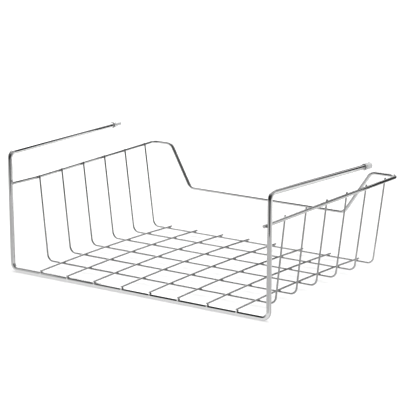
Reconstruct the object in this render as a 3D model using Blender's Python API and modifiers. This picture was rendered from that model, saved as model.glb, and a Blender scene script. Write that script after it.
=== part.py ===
"""Under shelf basket: a welded wire basket whose two arms rest on a shelf board.

Metres, +Z up. The front frame stands at the front (-Y), the basket reaches back along +Y, and the
origin is below the middle of the whole basket, on the surface that its front bar rests on.
"""
import math

import bmesh
import bpy
from mathutils import Vector

# Wires
frame_wire = 0.006  # diameter of the heavy wire of the front frame
rim_wire = 0.0045  # diameter of the rim
thin_wire = 0.0022  # diameter of the cross wires and the floor wires
weld_gap = 0.0003  # gap left between two wires where they are welded

# Front frame
frame_width = 0.374  # between the centres of the two uprights, at the top
frame_height = 0.1445  # from the bottom bar's centre to the arms' centre
frame_bend = 0.008  # bend radius at the wire's centre, the same at all four bends
left_lean = 0.0019  # how much further out the left upright stands at its top than at its foot
right_lean = 0.0004  # the same for the right upright
arm_length = 0.2185  # from the uprights' centre to the arm's cut end
left_arm_rise = 0.0013  # how far the left arm's tip lies above its bend
right_arm_drop = 0.0075  # how far the right arm's tip lies below its bend
arm_taper = 0.0002  # how much smaller the wire's radius is at its cut tips than at the caps' mouths

# Rim
board_gap = 0.03265  # clear height between the rim and the arms, at the uprights, for the shelf board
rim_rise = 0.0033  # how much higher the rim is at the rear
rim_rear_inset = 0.002  # from the uprights' plane in to the rim's centre, at the rear
left_rim_lift = 0.0018  # how much higher the left side ends, in front of the first cross wire
rim_depth = 0.2925  # from the uprights' centre to the rear rim's centre
rim_stub = 0.0034  # how far the rim's cut ends reach in front of the uprights' centre
rim_corner_bend = 0.009
left_shoulder = 0.0283  # from the rear corner to the top of the dip, along the rear rim
right_shoulder = 0.0373
left_slope_run = 0.0309  # from the top to the bottom of the dip's slope, measured level
right_slope_run = 0.0381
dip_depth = 0.0556  # from the rear rim down to its low stretch
dip_bend = 0.011

# Cross wires
cross_wires = 6
cross_front_gap = 0.0451  # from the uprights' centre to the first cross wire
cross_rear_gap = 0.0254  # from the last cross wire to the rear rim
wall_lean = 0.0206  # from the uprights' centre plane in to the foot of each wall
cross_bend = 0.0085
cross_tip = 0.0005  # how far the cut ends stand above the rim

# Floor wires
floor_wires = 8
floor_side_gap = 0.024  # from the foot of a wall to the nearest floor wire
floor_shift = 0.002  # how far the set of floor wires lies off the middle, to the right
floor_crown = 0.00245  # how far the middle of the floor bows up
floor_front_stub = 0.0025  # in front of the bottom bar's centre
floor_rear_stub = 0.004  # behind the last cross wire's centre

# End caps
cap_length = 0.015
cap_wall = 0.0007
cap_end_wall = 0.0015
cap_clearance = 0.0003  # between the cap and the wire inside it
cap_lip = 0.00035  # how far the rolled lip stands out from the sleeve
cap_lip_length = 0.0016
cap_end_round = 0.0022
cap_lead_in = 0.0004  # chamfer at the mouth of the bore

# Fineness
heavy_sides = 12  # around the frame and the rim
thin_sides = 8  # around a thin wire
bend_steps = 7  # straight pieces in each bend
cap_steps = 24  # around a cap
cap_round_steps = 4  # along each of a cap's rounds
merge_distance = 0.00001  # points closer than this become one
sharp_angle = math.radians(50)  # edges that turn by more than this stay sharp

# Derived places, measured from the uprights' centre plane and the bottom bar's centre
half_width = frame_width / 2
rim_height = frame_height - frame_wire / 2 - board_gap - rim_wire / 2
wall_foot = half_width - wall_lean
flat_share = math.cos(math.pi / heavy_sides)  # from a wire's centre to its flats, in radii
front_reach = max(flat_share * frame_wire / 2, rim_stub, floor_front_stub)
rear_reach = rim_depth + flat_share * rim_wire / 2
base = Vector((0, (front_reach - rear_reach) / 2, flat_share * frame_wire / 2))
last_cross_y = rim_depth - cross_rear_gap
floor_back = last_cross_y + floor_rear_stub


def new_collection(name):
    collection = bpy.data.collections.new(name)
    bpy.context.scene.collection.children.link(collection)
    return collection


def new_material(name, color, roughness, metallic=0.0, transmission=0.0, alpha=1.0):
    material = bpy.data.materials.new(name)
    material.use_nodes = True
    shader = material.node_tree.nodes["Principled BSDF"]
    shader.inputs["Base Color"].default_value = (*color, 1.0)
    shader.inputs["Roughness"].default_value = roughness
    shader.inputs["Metallic"].default_value = metallic
    shader.inputs["Transmission Weight"].default_value = transmission
    shader.inputs["Alpha"].default_value = alpha
    material.diffuse_color = (*color, alpha)
    return material


def arc(before, corner, after, radius):
    """Points of the bend that rounds a corner, from tangent point to tangent point."""
    back = (before - corner).normalized()
    ahead = (after - corner).normalized()
    half_angle = back.angle(ahead) / 2
    start = corner + back * radius / math.tan(half_angle)
    centre = corner + (back + ahead).normalized() * radius / math.sin(half_angle)
    axis = (start - centre).normalized()
    side = (-back - axis * axis.dot(-back)).normalized()
    turn = math.pi - 2 * half_angle
    angles = [turn * step / bend_steps for step in range(bend_steps + 1)]
    return [centre + radius * (axis * math.cos(a) + side * math.sin(a)) for a in angles]


def bent_path(corners, radii):
    """A wire's centre line: straight runs from corner to corner, with a bend where a radius is given."""
    points = [corners[0]]
    for index, radius in enumerate(radii, start=1):
        before, corner, after = corners[index - 1 : index + 2]
        points += arc(before, corner, after, radius) if radius else [corner]
    return points + [corners[-1]]


def new_wire(name, points, diameter, sides, material, collection, tip_share=1.0):
    """A wire with flat cut ends along the given centre line; its tips can be a little thinner."""
    curve = bpy.data.curves.new(name, "CURVE")
    curve.dimensions = "3D"
    curve.bevel_depth = diameter / 2
    curve.bevel_resolution = (sides - 4) // 2  # a bevel has four sides, and two more each step
    curve.use_fill_caps = True
    curve.twist_mode = "MINIMUM"
    spline = curve.splines.new("POLY")
    spline.points.add(len(points) - 1)
    for point, place in zip(spline.points, points):
        point.co = (*(base + place), 1)
        point.tilt = math.pi / sides  # turns a flat of the wire, not an edge, straight down
    spline.points[0].radius = spline.points[-1].radius = tip_share
    curve.materials.append(material)
    collection.objects.link(bpy.data.objects.new(name, curve))


def upright_x(side, height):
    """How far from the middle an upright's centre lies; side is -1 on the left and 1 on the right."""
    lean = left_lean if side < 0 else right_lean
    return half_width - lean * (1 - height / frame_height)


def rim_point(side, y):
    """A point on the centre line of one side of the rim."""
    share = y / rim_depth
    front = upright_x(side, rim_height) - (frame_wire + rim_wire) / 2 - weld_gap
    x = front + (half_width - rim_rear_inset - front) * share
    lift = left_rim_lift * max(0, 1 - y / cross_front_gap) if side < 0 else 0
    return Vector((side * x, y, rim_height + rim_rise * share + lift))


def floor_height(y):
    """Height of a floor wire's centre: it starts on the bottom bar and bows up in the middle."""
    seat = (frame_wire + thin_wire) / 2 + weld_gap
    middle = floor_back / 2
    return seat + floor_crown * (1 - ((y - middle) / middle) ** 2)


def cross_wire_y(index):
    return cross_front_gap + (last_cross_y - cross_front_gap) * index / (cross_wires - 1)


def arm_line(side):
    """The arm's centre line, from its cut end to its corner, with a point where the mouth of its cap lies."""
    lift = left_arm_rise if side < 0 else -right_arm_drop
    tip = Vector((side * half_width, arm_length, frame_height + lift))
    corner = Vector((side * half_width, 0, frame_height))
    covered = cap_length - cap_end_wall - cap_clearance
    return [tip, tip + (corner - tip).normalized() * covered, corner]


def make_front_frame(material, collection):
    def half(side):
        return [*arm_line(side), Vector((side * upright_x(side, 0), 0, 0))]

    half_radii = [0, frame_bend, frame_bend]
    points = bent_path(half(-1) + half(1)[::-1], half_radii + half_radii[::-1])
    tip_share = 1 - arm_taper / (frame_wire / 2)
    new_wire("front_frame", points, frame_wire, heavy_sides, material, collection, tip_share)


def make_rim(material, collection):
    def half(side, shoulder, slope_run):
        corner = rim_point(side, rim_depth)
        dip_top = corner - Vector((side * shoulder, 0, 0))
        dip_low = dip_top - Vector((side * slope_run, 0, dip_depth))
        return [rim_point(side, -rim_stub), rim_point(side, cross_front_gap), corner, dip_top, dip_low]

    left = half(-1, left_shoulder, left_slope_run)
    right = half(1, right_shoulder, right_slope_run)
    half_radii = [0, rim_corner_bend, dip_bend, dip_bend]
    points = bent_path(left + right[::-1], half_radii + half_radii[::-1])
    new_wire("rim_wire", points, rim_wire, heavy_sides, material, collection)


def wall_line(side, y):
    """One wall of a cross wire, from its cut end just above the rim down to its foot under the floor wires."""
    foot = Vector((side * wall_foot, y, floor_height(y) - thin_wire - weld_gap))
    weld = rim_point(side, y)
    weld.x -= side * ((rim_wire + thin_wire) / 2 + weld_gap)
    reach = (rim_wire / 2 + cross_tip) / (weld.z - foot.z)
    return [weld + (weld - foot) * reach, foot]


def make_cross_wires(material, collection):
    for index in range(cross_wires):
        y = cross_wire_y(index)
        points = bent_path(wall_line(-1, y) + wall_line(1, y)[::-1], [cross_bend] * 2)
        new_wire(f"cross_wire_{index + 1}", points, thin_wire, thin_sides, material, collection)


def make_floor_wires(material, collection):
    half_span = wall_foot - floor_side_gap
    stations = [-floor_front_stub, 0, *map(cross_wire_y, range(cross_wires)), floor_back]
    for index in range(floor_wires):
        x = floor_shift + half_span * (2 * index / (floor_wires - 1) - 1)
        points = [Vector((x, y, floor_height(y))) for y in stations]
        new_wire(f"floor_wire_{index + 1}", points, thin_wire, thin_sides, material, collection)


def cap_profile():
    """Half section of a cap, as radius and place along it, closed end first, mouth at zero."""
    bore = frame_wire / 2 + cap_clearance
    outer = bore + cap_wall
    lip = outer + cap_lip
    angles = [math.pi / 2 * step / cap_round_steps for step in range(cap_round_steps + 1)]
    end = [
        (outer - cap_end_round * (1 - math.sin(a)), cap_length - cap_end_round * (1 - math.cos(a)))
        for a in angles
    ]
    middle, half = (outer + bore) / 2 + cap_lip / 2, cap_lip_length / 2
    rolled = [
        (middle + (lip - middle) * math.sin(2 * a), half + half * math.cos(2 * a)) for a in angles
    ]
    mouth = [(bore + cap_lead_in, 0), (bore, cap_lead_in)]
    inside = [(bore, cap_length - cap_end_wall), (0, cap_length - cap_end_wall)]
    return [(0, cap_length), *end, (outer, cap_lip_length), *rolled[1:], *mouth, *inside]


def make_cap_mesh(material, collection):
    """The turned cap, standing on its mouth along +Z."""
    mesh = bpy.data.meshes.new("end_cap")
    form = bmesh.new()
    ring = [form.verts.new((radius, 0, place)) for radius, place in cap_profile()]
    for first, second in zip(ring, ring[1:]):
        form.edges.new((first, second))
    form.to_mesh(mesh)
    form.free()
    cap = bpy.data.objects.new("end_cap", mesh)
    collection.objects.link(cap)
    turn = cap.modifiers.new("turn", "SCREW")
    turn.steps = turn.render_steps = cap_steps
    turn.use_merge_vertices = True
    turn.merge_threshold = merge_distance
    turn.use_smooth_shade = True
    depsgraph = bpy.context.evaluated_depsgraph_get()
    turned = bpy.data.meshes.new_from_object(cap.evaluated_get(depsgraph))
    turned.name = "end_cap_turned"
    turned.materials.append(material)
    turned.set_sharp_from_angle(angle=sharp_angle)
    bpy.data.objects.remove(cap)
    return turned


def make_end_caps(material, collection):
    mesh = make_cap_mesh(material, collection)
    for side, name in ((-1, "left_end_cap"), (1, "right_end_cap")):
        tip, mouth, _ = arm_line(side)
        cap = bpy.data.objects.new(name, mesh)
        cap.rotation_mode = "QUATERNION"
        cap.rotation_quaternion = (tip - mouth).to_track_quat("Z", "X")
        cap.location = base + mouth
        collection.objects.link(cap)


def main():
    for item in list(bpy.data.objects):
        bpy.data.objects.remove(item, do_unlink=True)
    basket = new_collection("under_shelf_basket")
    make_front_frame(new_material("heavy_wire_chrome", (0.80, 0.80, 0.80), 0.12, 1.0), basket)
    make_rim(new_material("rim_wire_chrome", (0.78, 0.78, 0.78), 0.14, 1.0), basket)
    thin = new_material("thin_wire_chrome", (0.72, 0.72, 0.72), 0.18, 1.0)
    make_cross_wires(thin, basket)
    make_floor_wires(thin, basket)
    clear = new_material("clear_plastic", (0.93, 0.94, 0.94), 0.08, transmission=0.9, alpha=0.6)
    make_end_caps(clear, basket)


main()
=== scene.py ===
"""Looks of the under shelf basket: chrome wires with their spot welds, clear end caps, and the studio.

Metres, +Z up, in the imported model's own frame: the front frame stands at the front (-Y) and the
basket reaches back along +Y. The sizes below are those of the basket's wires, so that each finer
wire lies where the plain one does.
"""
import math
import random

import bmesh
import bpy
import numpy as np
from mathutils import Matrix, Vector


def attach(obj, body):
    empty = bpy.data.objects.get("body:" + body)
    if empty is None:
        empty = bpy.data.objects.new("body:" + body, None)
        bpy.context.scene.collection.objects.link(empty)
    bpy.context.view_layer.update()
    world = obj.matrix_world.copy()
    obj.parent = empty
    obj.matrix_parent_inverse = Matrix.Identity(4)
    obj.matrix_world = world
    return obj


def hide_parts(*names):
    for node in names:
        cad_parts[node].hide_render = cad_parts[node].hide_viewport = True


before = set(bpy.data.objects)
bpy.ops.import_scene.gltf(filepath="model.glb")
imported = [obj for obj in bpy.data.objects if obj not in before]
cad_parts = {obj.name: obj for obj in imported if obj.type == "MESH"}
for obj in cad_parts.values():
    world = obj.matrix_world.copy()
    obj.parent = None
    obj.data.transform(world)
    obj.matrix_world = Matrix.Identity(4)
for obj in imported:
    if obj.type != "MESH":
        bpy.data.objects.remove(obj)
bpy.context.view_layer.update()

# Wires
frame_wire = 0.006
rim_wire = 0.0045
thin_wire = 0.0022
weld_gap = 0.0003

# Front frame
frame_width = 0.374
frame_height = 0.1445
frame_bend = 0.008
left_lean = 0.0019
right_lean = 0.0004
arm_length = 0.2185
left_arm_rise = 0.0013
right_arm_drop = 0.0075

# Rim
board_gap = 0.03265
rim_rise = 0.0033
rim_rear_inset = 0.002
left_rim_lift = 0.0018
rim_depth = 0.2925
rim_stub = 0.0034
rim_corner_bend = 0.009
left_shoulder = 0.0283
right_shoulder = 0.0373
left_slope_run = 0.0309
right_slope_run = 0.0381
dip_depth = 0.0556
dip_bend = 0.011

# Cross wires
cross_wires = 6
cross_front_gap = 0.0451
cross_rear_gap = 0.0254
wall_lean = 0.0206
cross_bend = 0.0085
cross_tip = 0.0005

# Floor wires
floor_wires = 8
floor_side_gap = 0.024
floor_shift = 0.002
floor_crown = 0.00245
floor_front_stub = 0.0025
floor_rear_stub = 0.004

# End caps
cap_length = 0.015
cap_wall = 0.0007
cap_end_wall = 0.0015
cap_clearance = 0.0003
cap_lip = 0.00035
cap_lip_length = 0.0016
cap_end_round = 0.0022
cap_lead_in = 0.0004

# Fineness
heavy_flats = 12  # of the plain heavy wires: a round wire keeps inside them
flat_share = math.cos(math.pi / heavy_flats)
heavy_sides = 36
thin_sides = 20
bend_steps = 24
ring_step = 0.003  # most room between two rings along a wire
cut_chamfer = 0.00025  # at the wires' cut ends
cap_steps = 64
cap_round_steps = 8
merge_distance = 0.00001
sharp_angle = math.radians(40)

# Welds
wall_weld_size = 1.3  # the welds on the rim, against those of the floor
bead_radius = 0.0015  # of the metal on the front of the bar, under the floor wires' cut ends
bead_forward = 0.92  # how far out along those ends it sits
bead_height = 0.28  # over the bar's middle, in thicknesses of the bar
weld_spread = 0.8  # how far the squeezed-out metal reaches along the wires, in the weld's radius
weld_unevenness = (0.92, 1.08)  # how much that reach differs from weld to weld
weld_height = 0.55  # half the metal's height across the gap, in the weld's radius
weld_corners = 4  # between the two wires
weld_lobes = 0.22  # how much further the metal reaches in these corners
weld_rows = 6
weld_steps = 24
faint_weld = 0.15  # how much the plate's dulling and painted colour show at the floor's welds, against the others
weld_fade = 0.0032  # how far along the wires the duller, painted plate around a weld reaches

# Finish
haze_scale = 90.0
haze_detail = 4.0
haze_values = (0.3, 0.7)  # of the noise, where the haze is least and most
plate_haze = (0.7, 1.4)  # roughness of the plate there, against its usual one
plate_tone = (0.96, 1.02)  # and its brightness
vinyl_haze = (0.03, 0.16)  # roughness of the vinyl there
ripple_scale = 70.0
ripple_detail = 3.0
ripple_depth = 0.0003
plate_ripple = 0.15  # strength of the ripple in the plate
vinyl_ripple = 0.3  # and in the vinyl
weld_dulling = 0.3  # how much rougher the plate is at a weld
weld_paint_share = 0.7  # how far its colour goes there towards the weld's painted shade or painted highlight
# painted shade at a weld, for the shadow and reflection between crossing wires
painted_weld_shade = (0.2, 0.2, 0.2)
# painted highlight at a weld, for the bright cut ends of the floor wires on the bar
painted_weld_highlight = (0.9, 0.9, 0.9)
heavy_chrome = (0.62, 0.045, painted_weld_highlight)  # brightness, roughness and the painted colour at the welds, here a painted highlight
# the rim and thin wires get painted shade at their welds, where crossing wires shade and mirror each other
rim_chrome = (0.56, 0.06, painted_weld_shade)
thin_chrome = (0.39, 0.15, painted_weld_shade)
cap_refraction = 1.35
cap_clearness = 0.45
cap_clear = (0.97, 0.975, 0.975)  # colour of the vinyl seen straight on
cap_outline_painted_shade = (0.72, 0.725, 0.73)  # and along its surface, darker there as painted shade of its outline
cap_edge_blend = 0.5  # how early the one turns into the other
# painted shade on the cap's rolled lip, standing for the dark reflection in it
cap_lip_painted_shade = (0.06, 0.061, 0.062)
cap_painted_shade_reach = 0.0005  # how far the lip's painted shade reaches over the cap's side
cap_painted_shade_end = 0.0009  # where it has faded

# Derived places
half_width = frame_width / 2
rim_height = frame_height - frame_wire / 2 - board_gap - rim_wire / 2
wall_foot = half_width - wall_lean
front_reach = max(flat_share * frame_wire / 2, rim_stub, floor_front_stub)
rear_reach = rim_depth + flat_share * rim_wire / 2
base = Vector((0, (front_reach - rear_reach) / 2, flat_share * frame_wire / 2))
last_cross_y = rim_depth - cross_rear_gap
floor_back = last_cross_y + floor_rear_stub

# Camera, at the photograph's viewing angle
lens_mm = 180.0
camera_azimuth = math.radians(34.742)
camera_elevation = math.radians(13.349)
camera_roll = math.radians(0.107)
camera_distance = 2.411
camera_target = Vector((0.01165, -0.02876, 0.09329))

# Studio: a white background, a pale floor, a softbox at the back left and two fill lamps. Shiny surfaces
# alone also show grey walls that are open at the back and dark in front, a grey mat on the front of the
# floor, and cards and stands around the basket.
room_level = 0.52  # brightness of the walls, and of the light that the background gives
room_radius = 8.0
room_fineness = 5
floor_corners = [(-2.5, -0.55), (0.2, -0.55), (0.45, -0.44), (2.5, -0.44), (2.5, 3.0), (-2.5, 3.0)]
floor_shade = 0.75
floor_roughness = 0.7
floor_glow = (0.2, 0.9)  # near the basket and far from it
floor_glow_reach = (0.5, 2.0)  # how far from the basket the glow starts to rise, and where it is full
mat_shade = 0.72
mat_height = 0.0003
mat_end = (-0.15, 0.15)  # where it begins to thin out towards the back, and where it ends

# Round places in the walls, each with the azimuth (from +Y towards +X) and the elevation of its middle,
# the angles from there to where it begins to fade and to where it ends, and how much is gone inside it
room_doors = [(-15, 34, 12, 32, 1.0), (34, 10, 12, 30, 0.33)]  # of the wall
room_darks = [(145, 14, 32, 56, 0.88), (-150, 24, 26, 42, 0.97)]  # of its brightness

# Lamps, each with its size, its power, its place and whether shiny surfaces show it
lamps = {
    "softbox": ((1.0, 0.9), 6.5, (-0.5, 0.42, 0.8), True),
    "top_fill": ((2.4, 2.4), 28.0, (0.8, 0.4, 2.0), False),
    "front_fill": ((1.6, 1.6), 18.0, (1.2, -1.7, 1.1), False),
}

# Cards and stands, each with its brightness, the axis that it is square to, its place along that axis and
# its corners along the other two
cards = {
    "foot_card": (1.15, "z", 0.0005, [(-0.3, -0.175), (0.3, -0.175), (0.3, -0.147), (-0.3, -0.147)]),
    "low_card": (0.65, "y", -0.30, [
        (-0.38, 0.0), (-0.07, 0.0), (-0.13, 0.05), (-0.2, 0.09), (-0.25, 0.13), (-0.305, 0.2), (-0.38, 0.3),
    ]),
    "side_card": (0.9, "y", -0.30, [(-1.0, 0.0), (-0.38, 0.0), (-0.38, 0.3), (-0.5, 0.45), (-1.0, 0.8)]),
    "back_stand": (0.0, "y", 0.30, [
        (-0.17, 0.02), (0.0, 0.02), (0.06, 0.12), (0.10, 0.235), (0.12, 0.6), (0.03, 0.6), (0.02, 0.25),
        (-0.04, 0.21), (-0.12, 0.16),
    ]),
    "kerb_card": (0.6, "x", 0.23, [(-0.05, 0.0), (0.5, 0.0), (0.5, 0.085), (-0.05, 0.075)]),
    "end_card": (0.08, "y", 0.19, [(0.2, 0.08), (0.272, 0.075), (0.272, 0.125), (0.245, 0.15), (0.2, 0.15)]),
    "over_card": (0.2, "z", 0.3, [(-0.7, -0.35), (-0.27, -0.35), (-0.27, 0.03), (-0.7, 0.03)]),
    "far_stand": (0.0, "y", 0.5, [
        (0.35, 0.06), (0.45, 0.06), (0.45, 0.14), (0.46, 0.2), (0.46, 0.55), (0.27, 0.55), (0.24, 0.38),
        (0.14, 0.38), (0.14, 0.27), (0.25, 0.22), (0.33, 0.14),
    ]),
}


# Centre lines of the wires


def arc(before, corner, after, radius):
    """Points of the bend that rounds a corner, from tangent point to tangent point."""
    back = (before - corner).normalized()
    ahead = (after - corner).normalized()
    half_angle = back.angle(ahead) / 2
    start = corner + back * radius / math.tan(half_angle)
    centre = corner + (back + ahead).normalized() * radius / math.sin(half_angle)
    axis = (start - centre).normalized()
    side = (-back - axis * axis.dot(-back)).normalized()
    turn = math.pi - 2 * half_angle
    angles = [turn * step / bend_steps for step in range(bend_steps + 1)]
    return [centre + radius * (axis * math.cos(a) + side * math.sin(a)) for a in angles]


def bent_path(corners, radii):
    """The line through these corners, with each inner corner rounded by its radius, or sharp at zero."""
    points = [corners[0]]
    for index, radius in enumerate(radii, start=1):
        before, corner, after = corners[index - 1 : index + 2]
        points += arc(before, corner, after, radius) if radius else [corner]
    return points + [corners[-1]]


def upright_x(side, height):
    lean = left_lean if side < 0 else right_lean
    return half_width - lean * (1 - height / frame_height)


def arm_line(side):
    """The arm's centre line: its cut end, the place of its cap's mouth, and its corner."""
    lift = left_arm_rise if side < 0 else -right_arm_drop
    tip = Vector((side * half_width, arm_length, frame_height + lift))
    corner = Vector((side * half_width, 0, frame_height))
    covered = cap_length - cap_end_wall - cap_clearance
    return [tip, tip + (corner - tip).normalized() * covered, corner]


def rim_point(side, y):
    share = y / rim_depth
    front = upright_x(side, rim_height) - (frame_wire + rim_wire) / 2 - weld_gap
    x = front + (half_width - rim_rear_inset - front) * share
    lift = left_rim_lift * max(0, 1 - y / cross_front_gap) if side < 0 else 0
    return Vector((side * x, y, rim_height + rim_rise * share + lift))


def floor_height(y):
    seat = (frame_wire + thin_wire) / 2 + weld_gap
    middle = floor_back / 2
    return seat + floor_crown * (1 - ((y - middle) / middle) ** 2)


def cross_wire_y(index):
    return cross_front_gap + (last_cross_y - cross_front_gap) * index / (cross_wires - 1)


def floor_wire_x(index):
    half_span = wall_foot - floor_side_gap
    return floor_shift + half_span * (2 * index / (floor_wires - 1) - 1)


def frame_path():
    def half(side):
        return [*arm_line(side), Vector((side * upright_x(side, 0), 0, 0))]

    half_radii = [0, frame_bend, frame_bend]
    return bent_path(half(-1) + half(1)[::-1], half_radii + half_radii[::-1])


def rim_path():
    def half(side, shoulder, slope_run):
        corner = rim_point(side, rim_depth)
        dip_top = corner - Vector((side * shoulder, 0, 0))
        dip_low = dip_top - Vector((side * slope_run, 0, dip_depth))
        return [rim_point(side, -rim_stub), rim_point(side, cross_front_gap), corner, dip_top, dip_low]

    left = half(-1, left_shoulder, left_slope_run)
    right = half(1, right_shoulder, right_slope_run)
    half_radii = [0, rim_corner_bend, dip_bend, dip_bend]
    return bent_path(left + right[::-1], half_radii + half_radii[::-1])


def wall_line(side, y):
    """A cross wire's leaning end: its tip, just over the rim, and its foot."""
    foot = Vector((side * wall_foot, y, floor_height(y) - thin_wire - weld_gap))
    weld = rim_point(side, y)
    weld.x -= side * ((rim_wire + thin_wire) / 2 + weld_gap)
    reach = (rim_wire / 2 + cross_tip) / (weld.z - foot.z)
    return [weld + (weld - foot) * reach, foot]


def cross_path(index):
    y = cross_wire_y(index)
    return bent_path(wall_line(-1, y) + wall_line(1, y)[::-1], [cross_bend] * 2)


def floor_path(index):
    stations = [-floor_front_stub, 0, *map(cross_wire_y, range(cross_wires)), floor_back]
    return [Vector((floor_wire_x(index), y, floor_height(y))) for y in stations]


# Welds, each as the middle of the gap between its two wires, the way from the one wire to the other,
# the first wire's direction, the radius of the squeezed-out metal and how much the plate's dulling and
# painted colour show the weld


def floor_welds(index):
    x = floor_wire_x(index)
    up, along, radius = Vector((0, 0, 1)), Vector((0, 1, 0)), thin_wire / 2
    welds = [(Vector((x, 0, (frame_wire + weld_gap) / 2)), up, along, radius, faint_weld)]
    for y in map(cross_wire_y, range(cross_wires)):
        place = Vector((x, y, floor_height(y) - (thin_wire + weld_gap) / 2))
        welds.append((place, up, along, radius, faint_weld))
    return welds


def bar_welds():
    """The beads on the front of the bar, under the cut ends of the floor wires."""
    welds = []
    for index in range(floor_wires):
        place = Vector((floor_wire_x(index), -floor_front_stub * bead_forward, frame_wire * bead_height))
        welds.append((place, Vector((0, 1, 0)), Vector((0, 0, 1)), bead_radius, 1.0))
    return welds


def wall_welds(index):
    y = cross_wire_y(index)
    welds = []
    for side in (-1, 1):
        place = rim_point(side, y)
        place.x -= side * (rim_wire + weld_gap) / 2
        welds.append((place, Vector((side, 0, 0)), Vector((0, 1, 0)), thin_wire / 2 * wall_weld_size, 1.0))
    return welds


def rim_welds():
    welds = []
    for side in (-1, 1):
        place = rim_point(side, 0)
        place.x += side * (rim_wire + weld_gap) / 2
        welds.append((place, Vector((side, 0, 0)), Vector((0, 1, 0)), rim_wire / 2, 1.0))
    return welds


# Meshes


def closer_rings(points):
    """The same line, with its points no further apart than a ring step."""
    line = [points[0]]
    for start, end in zip(points, points[1:]):
        count = max(1, math.ceil((end - start).length / ring_step))
        line += [start.lerp(end, step / count) for step in range(1, count + 1)]
    return line


def add_tube(form, points, radius, sides):
    """A round wire with a small chamfer at each cut end."""
    line = closer_rings(points)
    line.insert(1, line[0] + (line[1] - line[0]).normalized() * cut_chamfer)
    line.insert(-1, line[-1] + (line[-2] - line[-1]).normalized() * cut_chamfer)
    radii = [radius - cut_chamfer] + [radius] * (len(line) - 2) + [radius - cut_chamfer]
    angles = [2 * math.pi * step / sides for step in range(sides)]
    across = (line[1] - line[0]).orthogonal()
    rings = []
    for index, (place, size) in enumerate(zip(line, radii)):
        ahead = (line[min(index + 1, len(line) - 1)] - line[max(index - 1, 0)]).normalized()
        across = (across - ahead * across.dot(ahead)).normalized()
        other = ahead.cross(across)
        ring = [base + place + size * (across * math.cos(a) + other * math.sin(a)) for a in angles]
        rings.append([form.verts.new(point) for point in ring])
    for first, second in zip(rings, rings[1:]):
        for here in range(sides):
            there = (here + 1) % sides
            form.faces.new((first[here], first[there], second[there], second[here]))
    form.faces.new(rings[0][::-1])
    form.faces.new(rings[-1])


def add_weld(form, place, way, along, radius, draw):
    """Metal squeezed out between two crossing wires, fullest in the corners between them."""
    across = way.cross(along)
    spread = radius * weld_spread * draw.uniform(*weld_unevenness)
    height = radius * weld_height
    rows = []
    for row in range(1, weld_rows):
        up = math.pi * row / weld_rows
        ring = []
        for step in range(weld_steps):
            turn = 2 * math.pi * step / weld_steps
            reach = spread * math.sin(up) * (1 - weld_lobes * math.cos(weld_corners * turn))
            offset = along * math.cos(turn) * reach + across * math.sin(turn) * reach
            ring.append(form.verts.new(base + place + offset + way * height * math.cos(up)))
        rows.append(ring)
    top = form.verts.new(base + place + way * height)
    foot = form.verts.new(base + place - way * height)
    for here in range(weld_steps):
        there = (here + 1) % weld_steps
        form.faces.new((top, rows[0][here], rows[0][there]))
        form.faces.new((foot, rows[-1][there], rows[-1][here]))
        for first, second in zip(rows, rows[1:]):
            form.faces.new((first[here], second[here], second[there], first[there]))


def mark_welds(mesh, welds):
    """A number on each point, highest at a weld and falling to nothing a little way along the wires."""
    points = np.empty(len(mesh.vertices) * 3)
    mesh.vertices.foreach_get("co", points)
    places = np.array([base + place for place, *_ in welds])
    shares = np.array([share for *_, share in welds])
    reach = np.linalg.norm(points.reshape(-1, 1, 3) - places[None], axis=2)
    marks = mesh.attributes.new("weld", "FLOAT", "POINT")
    marks.data.foreach_set("value", np.max(shares * np.clip(1 - reach / weld_fade, 0, 1), axis=1))


def new_piece(name, form, material, slot, *nodes):
    """An object from the given form, smooth but for its sharp edges, that stands for these nodes."""
    bmesh.ops.recalc_face_normals(form, faces=form.faces)
    mesh = bpy.data.meshes.new(name)
    form.to_mesh(mesh)
    form.free()
    mesh.shade_smooth()
    mesh.set_sharp_from_angle(angle=sharp_angle)
    mesh.materials.append(material)
    piece = bpy.data.objects.new(name, mesh)
    bpy.context.scene.collection.objects.link(piece)
    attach(piece, "root")
    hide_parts(*nodes)
    return piece


def make_wire(name, points, diameter, sides, own_welds, all_welds, material, slot, node):
    """A wire with the metal of its own welds, whose plate is duller near every weld and painted there with
    its material's weld colour, a painted shade or a painted highlight.
    """
    draw = random.Random(name)
    form = bmesh.new()
    add_tube(form, points, diameter / 2, sides)
    for place, way, along, radius, _ in own_welds:
        add_weld(form, place, way, along, radius, draw)
    piece = new_piece(name, form, material, slot, node)
    mark_welds(piece.data, all_welds)


def make_wires():
    every_weld = rim_welds()
    for index in range(cross_wires):
        every_weld += wall_welds(index)
    for index in range(floor_wires):
        every_weld += floor_welds(index)
    beads = bar_welds()
    heavy = chrome("heavy_wire_chrome", *heavy_chrome)
    rim = chrome("rim_wire_chrome", *rim_chrome)
    thin = chrome("thin_wire_chrome", *thin_chrome)
    # the frame's plate gets a painted highlight at its welds and at the beads under the floor wires' cut
    # ends
    make_wire("chrome_front_frame", frame_path(), frame_wire * flat_share, heavy_sides, beads,
              every_weld + beads, heavy, "heavy_wire", "front_frame")
    make_wire("chrome_rim", rim_path(), rim_wire * flat_share, heavy_sides, rim_welds(),
              every_weld, rim, "rim_wire", "rim_wire")
    for kind, count, path, welds in (
        ("cross_wire", cross_wires, cross_path, wall_welds),
        ("floor_wire", floor_wires, floor_path, floor_welds),
    ):
        for index in range(count):
            node = f"{kind}_{index + 1}"
            make_wire(f"chrome_{node}", path(index), thin_wire, thin_sides, welds(index),
                      every_weld, thin, "thin_wire", node)


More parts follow.
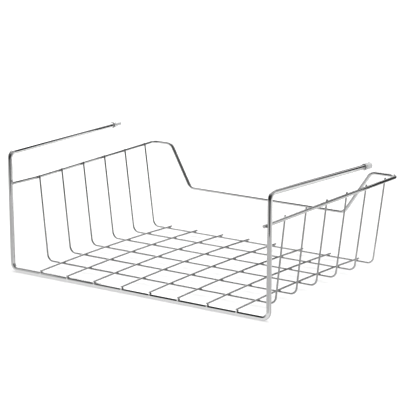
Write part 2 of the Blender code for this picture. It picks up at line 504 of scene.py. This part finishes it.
def cap_profile():
    """Half section of a cap, as radius and place along it, closed end first, mouth at zero."""
    bore = frame_wire / 2 + cap_clearance
    outer = bore + cap_wall
    lip = outer + cap_lip
    angles = [math.pi / 2 * step / cap_round_steps for step in range(cap_round_steps + 1)]
    end = [
        (outer - cap_end_round * (1 - math.sin(a)), cap_length - cap_end_round * (1 - math.cos(a)))
        for a in angles
    ]
    middle, half = (outer + bore) / 2 + cap_lip / 2, cap_lip_length / 2
    rolled = [(middle + (lip - middle) * math.sin(2 * a), half + half * math.cos(2 * a)) for a in angles]
    mouth = [(bore + cap_lead_in, 0), (bore, cap_lead_in)]
    inside = [(bore, cap_length - cap_end_wall), (0, cap_length - cap_end_wall)]
    # rings at which the lip's painted shade fades out over the side
    painted_shade_rings = [(outer, cap_lip_length + reach) for reach in (cap_painted_shade_end, cap_painted_shade_reach, 0)]
    return [(0, cap_length), *end, *painted_shade_rings, *rolled[1:], *mouth, *inside]


def make_caps():
    """The two caps, each turned from its profile, with a number on its points that marks the lip for its
    painted shade.
    """
    clear = clear_plastic("clear_plastic")
    for side, name in ((-1, "left"), (1, "right")):
        tip, mouth, _ = arm_line(side)
        place = Matrix.Translation(base + mouth) @ (tip - mouth).to_track_quat("Z", "X").to_matrix().to_4x4()
        form = bmesh.new()
        profile = [form.verts.new((radius, 0, along)) for radius, along in cap_profile()]
        edges = [form.edges.new(pair) for pair in zip(profile, profile[1:])]
        bmesh.ops.spin(form, geom=profile + edges, cent=(0, 0, 0), axis=(0, 0, 1), angle=2 * math.pi,
                       steps=cap_steps, use_merge=True)
        bmesh.ops.remove_doubles(form, verts=form.verts, dist=merge_distance)
        painted_shade_limit = cap_lip_length + cap_painted_shade_reach + merge_distance
        painted_lip_marks = [float(cap_lip_length / 2 <= vert.co.z <= painted_shade_limit) for vert in form.verts]
        form.transform(place)
        cap = new_piece(f"clear_cap_{name}", form, clear, "clear_cap", f"{name}_end_cap")
        cap.data.attributes.new("lip", "FLOAT", "POINT").data.foreach_set("value", painted_lip_marks)


# Materials


def new_material(name):
    """A material, with its node tree and its shader."""
    material = bpy.data.materials.new(name)
    material.use_nodes = True
    return material, material.node_tree, material.node_tree.nodes["Principled BSDF"]


def add_node(tree, kind, **values):
    """A node with the given input values, by socket name, and properties, by attribute name."""
    node = tree.nodes.new(kind)
    for key, value in values.items():
        if hasattr(node, key):
            setattr(node, key, value)
        else:
            node.inputs[key.replace("_", " ")].default_value = value
    return node


def add_math(tree, operation, *values):
    """The result of an operation on these values, each a number or what another node gives."""
    node = add_node(tree, "ShaderNodeMath", operation=operation)
    for socket, value in zip(node.inputs, values):
        if isinstance(value, float):
            socket.default_value = value
        else:
            tree.links.new(value, socket)
    return node.outputs["Value"]


def add_range(tree, value, ends, interpolation="LINEAR"):
    """A number taken from one range to another. The ends are from least, from most, to least, to most."""
    node = add_node(tree, "ShaderNodeMapRange", interpolation_type=interpolation)
    tree.links.new(value, node.inputs["Value"])
    for socket, end in zip(("From Min", "From Max", "To Min", "To Max"), ends):
        node.inputs[socket].default_value = end
    return node.outputs["Result"]


def add_tint(tree, share, first, last):
    """A colour that goes from the first to the last as the share goes from zero to one."""
    node = add_node(tree, "ShaderNodeMapRange", data_type="FLOAT_VECTOR")
    tree.links.new(share, node.inputs["Vector"])
    to_first, to_last = node.inputs[9], node.inputs[10]  # by place, because their names come twice
    to_first.default_value, to_last.default_value = first, last
    return node.outputs["Vector"]


def add_mix(tree, share, colour, other):
    """The colour, gone over to the other one by the share."""
    node = add_node(tree, "ShaderNodeMix", data_type="RGBA")
    tree.links.new(share, node.inputs["Factor"])
    first, last, mixed = node.inputs[6], node.inputs[7], node.outputs[2]  # by place, for the same reason
    tree.links.new(colour, first)
    last.default_value = (*other, 1.0)
    return mixed


def add_noise(tree, scale, detail):
    place = add_node(tree, "ShaderNodeTexCoord")
    noise = add_node(tree, "ShaderNodeTexNoise", Scale=scale, Detail=detail)
    tree.links.new(place.outputs["Object"], noise.inputs["Vector"])
    return noise.outputs["Fac"]


def add_ripple(tree, height, strength, shader):
    bump = add_node(tree, "ShaderNodeBump", Strength=strength, Distance=ripple_depth)
    tree.links.new(height, bump.inputs["Height"])
    tree.links.new(bump.outputs["Normal"], shader.inputs["Normal"])


def chrome(name, shade, roughness, painted_weld_colour):
    """Bright chrome plate: even in colour away from the welds, with faint haze, a fine ripple, and duller
    zones at the welds that carry a painted shade or a painted highlight.
    """
    material, tree, shader = new_material(name)
    shader.inputs["Metallic"].default_value = 1.0
    haze = add_noise(tree, haze_scale, haze_detail)
    weld = add_node(tree, "ShaderNodeAttribute", attribute_name="weld").outputs["Fac"]

    roughnesses = [roughness * share for share in plate_haze]
    dullness = add_range(tree, haze, (*haze_values, *roughnesses))
    tree.links.new(add_math(tree, "MULTIPLY_ADD", weld, weld_dulling, dullness), shader.inputs["Roughness"])

    plate = add_tint(tree, haze, *[(shade * share,) * 3 for share in plate_tone])
    # near a weld the colour goes over to the weld's painted colour: painted shade on the rim and thin wires,
    # a painted highlight on the heavy ones
    colour = add_mix(tree, add_math(tree, "MULTIPLY", weld, weld_paint_share), plate, painted_weld_colour)
    tree.links.new(colour, shader.inputs["Base Color"])

    add_ripple(tree, add_noise(tree, ripple_scale, ripple_detail), plate_ripple, shader)
    return material


def clear_plastic(name):
    """Clear soft vinyl: glossy, faintly hazed by moulding and a little wavy, with painted shade on its lip
    and towards its outline.
    """
    material, tree, shader = new_material(name)
    shader.inputs["Transmission Weight"].default_value = cap_clearness
    shader.inputs["IOR"].default_value = cap_refraction
    haze = add_noise(tree, haze_scale, haze_detail)
    # the lip's mark, where the vinyl gets its painted shade
    lip = add_node(tree, "ShaderNodeAttribute", attribute_name="lip").outputs["Fac"]
    # darker towards the outline: painted shade of the vinyl's edges
    facing = add_node(tree, "ShaderNodeLayerWeight", Blend=cap_edge_blend).outputs["Facing"]
    colour = add_mix(tree, lip, add_tint(tree, facing, cap_clear, cap_outline_painted_shade), cap_lip_painted_shade)
    tree.links.new(colour, shader.inputs["Base Color"])
    tree.links.new(add_range(tree, haze, (*haze_values, *vinyl_haze)), shader.inputs["Roughness"])
    add_ripple(tree, haze, vinyl_ripple, shader)
    return material


# Studio


def background_rays(tree):
    """One on the rays that carry the background: the camera's, and those of shiny and clear pieces."""
    rays = add_node(tree, "ShaderNodeLightPath").outputs
    camera_or_glossy = add_math(tree, "MAXIMUM", rays["Is Camera Ray"], rays["Is Glossy Ray"])
    return add_math(tree, "MAXIMUM", camera_or_glossy, rays["Is Transmission Ray"])


def mirrored_rays(tree):
    """One on the rays that a shiny surface has mirrored."""
    rays = add_node(tree, "ShaderNodeLightPath").outputs
    return add_math(tree, "GREATER_THAN", rays["Glossy Depth"], 0.5)


def make_world():
    """White behind the basket, and a plain light grey for the light that it gives."""
    world = bpy.data.worlds.new("studio")
    bpy.context.scene.world = world
    world.use_nodes = True
    tree = world.node_tree
    background = tree.nodes["Background"]
    background.inputs["Color"].default_value = (1, 1, 1, 1)
    strength = add_math(tree, "MAXIMUM", room_level, background_rays(tree))
    tree.links.new(strength, background.inputs["Strength"])


def new_stage(name, form):
    """An object of the studio, from the given form."""
    mesh = bpy.data.meshes.new(name)
    form.to_mesh(mesh)
    form.free()
    stage = bpy.data.objects.new(name, mesh)
    bpy.context.scene.collection.objects.link(stage)
    return stage


def new_panel(name, axis, place, corners):
    """A flat panel of the studio, square to an axis at this place, with its corners along the other two."""
    first = "xyz".index(axis)
    form = bmesh.new()
    form.faces.new([form.verts.new((*corner[:first], place, *corner[first:])) for corner in corners])
    return new_stage(name, form)


def show_in_mirrors(stage, shade):
    """Makes a stage object black but for its glow, and hides it from all but the mirrored rays."""
    stage.visible_camera = stage.visible_diffuse = stage.visible_shadow = False
    material, tree, shader = new_material(stage.name)
    shader.inputs["Base Color"].default_value = (0, 0, 0, 1)
    shader.inputs["Specular IOR Level"].default_value = 0.0
    shader.inputs["Emission Color"].default_value = (shade, shade, shade, 1)
    shader.inputs["Emission Strength"].default_value = 1.0
    mirrored = mirrored_rays(tree)
    tree.links.new(mirrored, shader.inputs["Alpha"])
    stage.data.materials.append(material)
    return tree, shader, mirrored


def what_is_left(tree, way, places, start):
    """The start, a number or what a node gives, times what each round place leaves of it this way."""
    left = start
    for azimuth, elevation, inner, outer, gone in places:
        turn, rise = math.radians(azimuth), math.radians(elevation)
        flat = math.cos(rise)
        dot = add_node(tree, "ShaderNodeVectorMath", operation="DOT_PRODUCT")
        tree.links.new(way, dot.inputs[0])
        dot.inputs[1].default_value = (math.sin(turn) * flat, math.cos(turn) * flat, math.sin(rise))
        ends = (math.cos(math.radians(outer)), math.cos(math.radians(inner)), 1.0, 1.0 - gone)
        left = add_math(tree, "MULTIPLY", add_range(tree, dot.outputs["Value"], ends, "SMOOTHSTEP"), left)
    return left


def make_room():
    """The grey walls of the studio, open towards the white at the back and dark in front."""
    form = bmesh.new()
    bmesh.ops.create_icosphere(form, subdivisions=room_fineness, radius=room_radius)
    tree, shader, mirrored = show_in_mirrors(new_stage("room", form), 1.0)
    place = add_node(tree, "ShaderNodeTexCoord")
    direction = add_node(tree, "ShaderNodeVectorMath", operation="NORMALIZE")
    tree.links.new(place.outputs["Object"], direction.inputs[0])
    way = direction.outputs["Vector"]
    tree.links.new(what_is_left(tree, way, room_doors, mirrored), shader.inputs["Alpha"])
    tree.links.new(what_is_left(tree, way, room_darks, room_level), shader.inputs["Emission Strength"])


def make_floor():
    """A plain white table top. It glows more with distance, so that it melts into the background."""
    floor = new_panel("floor", "z", 0, floor_corners)
    material, tree, shader = new_material("floor")
    shader.inputs["Base Color"].default_value = (floor_shade, floor_shade, floor_shade, 1)
    shader.inputs["Roughness"].default_value = floor_roughness
    shader.inputs["Emission Color"].default_value = (1, 1, 1, 1)
    place = add_node(tree, "ShaderNodeTexCoord")
    distance = add_node(tree, "ShaderNodeVectorMath", operation="LENGTH")
    tree.links.new(place.outputs["Object"], distance.inputs[0])
    glow = add_range(tree, distance.outputs["Value"], (*floor_glow_reach, *floor_glow), "SMOOTHSTEP")
    strength = add_math(tree, "MULTIPLY", background_rays(tree), glow)
    tree.links.new(strength, shader.inputs["Emission Strength"])
    floor.data.materials.append(material)


def make_mat():
    """A grey mat on the front of the floor, which thins out towards the back."""
    corners = [(x, min(y, mat_end[1])) for x, y in floor_corners]
    tree, shader, mirrored = show_in_mirrors(new_panel("mat", "z", mat_height, corners), mat_shade)
    place = add_node(tree, "ShaderNodeTexCoord")
    parts = add_node(tree, "ShaderNodeSeparateXYZ")
    tree.links.new(place.outputs["Object"], parts.inputs["Vector"])
    share = add_range(tree, parts.outputs["Y"], (*mat_end, 1.0, 0.0), "SMOOTHSTEP")
    tree.links.new(add_math(tree, "MULTIPLY", share, mirrored), shader.inputs["Alpha"])


def make_cards():
    for name, (shade, axis, place, corners) in cards.items():
        show_in_mirrors(new_panel(name, axis, place, corners), shade)


def make_lights():
    for name, (size, power, place, mirrored) in lamps.items():
        lamp = bpy.data.lights.new(name, "AREA")
        lamp.shape = "RECTANGLE"
        lamp.size, lamp.size_y = size
        lamp.energy = power
        light = bpy.data.objects.new(name, lamp)
        light.location = place
        light.rotation_mode = "QUATERNION"
        light.rotation_quaternion = (camera_target - Vector(place)).to_track_quat("-Z", "Y")
        light.visible_glossy = mirrored
        bpy.context.scene.collection.objects.link(light)


def make_camera():
    data = bpy.data.cameras.new("camera")
    data.lens = lens_mm
    camera = bpy.data.objects.new("camera", data)
    flat, rise = math.cos(camera_elevation), math.sin(camera_elevation)
    back = Vector((math.sin(camera_azimuth) * flat, -math.cos(camera_azimuth) * flat, rise))
    camera.location = camera_target + back * camera_distance
    camera.rotation_mode = "QUATERNION"
    look = back.to_track_quat("Z", "Y").to_matrix() @ Matrix.Rotation(camera_roll, 3, "Z")
    camera.rotation_quaternion = look.to_quaternion()
    bpy.context.scene.collection.objects.link(camera)
    bpy.context.scene.camera = camera


def main():
    make_camera()
    make_wires()
    make_caps()
    make_world()
    make_room()
    make_floor()
    make_mat()
    make_cards()
    make_lights()
    bpy.context.scene.view_settings.view_transform = "Standard"


main()
